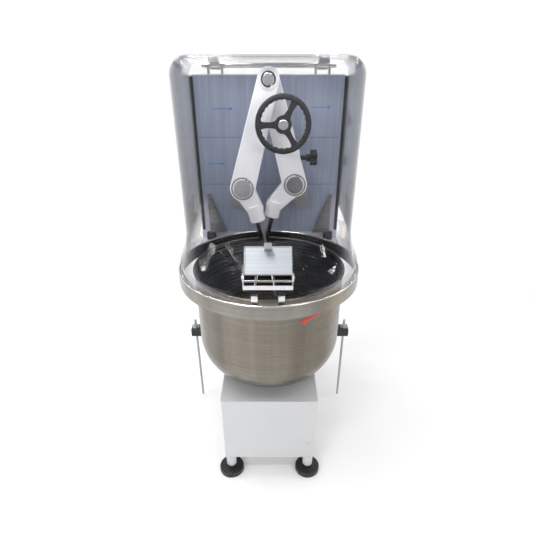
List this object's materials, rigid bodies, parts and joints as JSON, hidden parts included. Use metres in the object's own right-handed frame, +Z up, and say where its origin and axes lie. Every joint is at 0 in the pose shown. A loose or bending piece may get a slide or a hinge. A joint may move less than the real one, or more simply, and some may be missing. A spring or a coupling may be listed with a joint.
{
  "type": "double arm plunging mixer",
  "caption": "Floor-standing dough mixer: white pedestal and column, stainless bowl and guard ring, plunging arms on geared cranks, clear hinged hood with feed flap.",
  "frame": {"origin": "middle of the bounding box at floor level", "axes": "+Z up, -Y towards the operator, +X to the operator's right"},
  "size_m": [0.67, 0.84, 1.402],
  "materials": {
    "white_paint": "white stove enamel with light orange peel",
    "lilac_paint": "pale enamel seen in the hood's shade",
    "brushed_steel": "brushed stainless sheet",
    "bowl_steel": "turned and brushed stainless bowl",
    "film_steel": "stainless sheet under blue-grey protective film",
    "machined_steel": "machined steel",
    "polished_steel": "polished steel",
    "clear_plastic": "clear polycarbonate",
    "black_plastic": "black moulded plastic",
    "black_rubber": "black rubber",
    "dark_bar": "black painted bar",
    "zinc": "bright zinc plate",
    "cast": "grey cast housing",
    "motor_paint": "blue-grey motor enamel",
    "belt": "rubber belt",
    "green_plastic": "green button",
    "red_plastic": "red mushroom"
  },
  "bodies": {
    "base": {"pedestal": "white_paint", "deck_plate": "white_paint", "column_shell": "white_paint", "back_panel": "film_steel", "front_frame": "lilac_paint", "apron": "lilac_paint", "shelf": "lilac_paint", "guard_ring": "brushed_steel", "gussets": "brushed_steel", "hood_stops": "black_plastic", "edge_seals": "black_rubber", "rear_cover": "white_paint", "cover_screws": "zinc", "leg_tubes": "white_paint", "bowl_gearbox": "cast", "bowl_motor": "motor_paint", "flange_bearings": "cast", "bearing_plate": "machined_steel", "drive_belt": "belt", "motor": "motor_paint", "motor_shelf": "machined_steel", "hinge_rod": "machined_steel", "hinge_brackets": "brushed_steel", "control_box": "white_paint", "cable_gland": "black_plastic", "tie_bar": "dark_bar", "tie_rods": "zinc", "tie_nuts": "zinc"},
    "bowl": {"bowl": "bowl_steel", "bowl_spindle": "machined_steel"},
    "crank_left": {"crank_left": "machined_steel", "gear_left": "machined_steel", "crank_pulley": "machined_steel"},
    "crank_right": {"crank_right": "machined_steel", "gear_right": "machined_steel"},
    "motor_rotor": {"motor_pulley": "machined_steel"},
    "arm_left": {"arm_left": "white_paint", "bearing_left": "machined_steel", "top_pin": "polished_steel", "tool_left": "polished_steel"},
    "arm_right": {"arm_right_upper": "white_paint", "arm_right_lower": "white_paint", "bearing_right": "machined_steel", "tool_right": "polished_steel"},
    "handwheel": {"handwheel": "black_plastic", "wheel_cap": "polished_steel"},
    "star_knob": {"star_knob": "black_plastic"},
    "hood": {"hood": "clear_plastic", "hood_leaves": "brushed_steel", "lid_brackets": "brushed_steel", "chute": "brushed_steel"},
    "flap": {"flap": "brushed_steel", "flap_handle": "polished_steel"},
    "start_button": {"start_button": "green_plastic"},
    "stop_mushroom": {"stop_mushroom": "red_plastic"},
    "timer_dial": {"timer_dial": "black_plastic"},
    "foot_fl": {"foot_fl": "black_plastic"},
    "foot_fr": {"foot_fr": "black_plastic"},
    "foot_rl": {"foot_rl": "black_plastic"},
    "foot_rr": {"foot_rr": "black_plastic"}
  },
  "joints": [
    {"name": "crank_left_spin", "type": "hinge", "parent": "base", "child": "crank_left", "pos_m": [-0.10199, 0.1, 0.98133], "axis": [0, 1, 0], "continuous": true},
    {"name": "crank_right_spin", "type": "hinge", "parent": "base", "child": "crank_right", "pos_m": [0.10199, 0.1, 0.98133], "axis": [0, 1, 0], "continuous": true},
    {"name": "arm_left_pivot", "type": "hinge", "parent": "crank_left", "child": "arm_left", "pos_m": [-0.09, 0.028, 1.011], "axis": [0, 1, 0], "continuous": true},
    {"name": "arm_top_pivot", "type": "hinge", "parent": "arm_left", "child": "arm_right", "pos_m": [0, 0.08, 1.341], "axis": [0, 1, 0], "range_deg": [-2, 2]},
    {"name": "bowl_spin", "type": "hinge", "parent": "base", "child": "bowl", "pos_m": [0, -0.12, 0.5], "axis": [0, 0, 1], "continuous": true},
    {"name": "motor_spin", "type": "hinge", "parent": "base", "child": "motor_rotor", "pos_m": [-0.055, 0.3, 0.64], "axis": [0, 1, 0], "continuous": true},
    {"name": "handwheel_turn", "type": "hinge", "parent": "arm_right", "child": "handwheel", "pos_m": [0.045, 0, 1.22], "axis": [0, 1, 0], "range_deg": [-180, 180]},
    {"name": "star_knob_turn", "type": "hinge", "parent": "arm_right", "child": "star_knob", "pos_m": [0.13, 0.08, 1.1], "axis": [1, 0, 0], "range_deg": [-180, 180]},
    {"name": "hood_hinge", "type": "hinge", "parent": "base", "child": "hood", "pos_m": [0, 0.198, 1.376], "axis": [1, 0, 0], "range_deg": [-65, 0]},
    {"name": "flap_hinge", "type": "hinge", "parent": "hood", "child": "flap", "pos_m": [0, -0.352, 0.866], "axis": [1, 0, 0], "range_deg": [0, 100]},
    {"name": "start_press", "type": "slide", "parent": "base", "child": "start_button", "axis": [1, 0, 0], "range_m": [-0.003, 0], "stiffness_N_per_m": 400, "springref_m": 0.002},
    {"name": "stop_press", "type": "slide", "parent": "base", "child": "stop_mushroom", "axis": [1, 0, 0], "range_m": [-0.003, 0], "stiffness_N_per_m": 600, "springref_m": 0.002},
    {"name": "timer_turn", "type": "hinge", "parent": "base", "child": "timer_dial", "pos_m": [0.29, 0.3, 1.045], "axis": [1, 0, 0], "range_deg": [0, 300]},
    {"name": "foot_fl_level", "type": "slide", "parent": "base", "child": "foot_fl", "axis": [0, 0, -1], "range_m": [0, 0.02]},
    {"name": "foot_fr_level", "type": "slide", "parent": "base", "child": "foot_fr", "axis": [0, 0, -1], "range_m": [0, 0.02]},
    {"name": "foot_rl_level", "type": "slide", "parent": "base", "child": "foot_rl", "axis": [0, 0, -1], "range_m": [0, 0.02]},
    {"name": "foot_rr_level", "type": "slide", "parent": "base", "child": "foot_rr", "axis": [0, 0, -1], "range_m": [0, 0.02]}
  ],
  "couplings": [
    {"joint": "crank_right_spin", "follows": "crank_left_spin", "ratio": -1},
    {"joint": "arm_left_pivot", "follows": "crank_left_spin", "ratio": -1},
    {"joint": "bowl_spin", "follows": "crank_left_spin", "ratio": 0.125},
    {"joint": "motor_spin", "follows": "crank_left_spin", "ratio": 2.5}
  ]
}
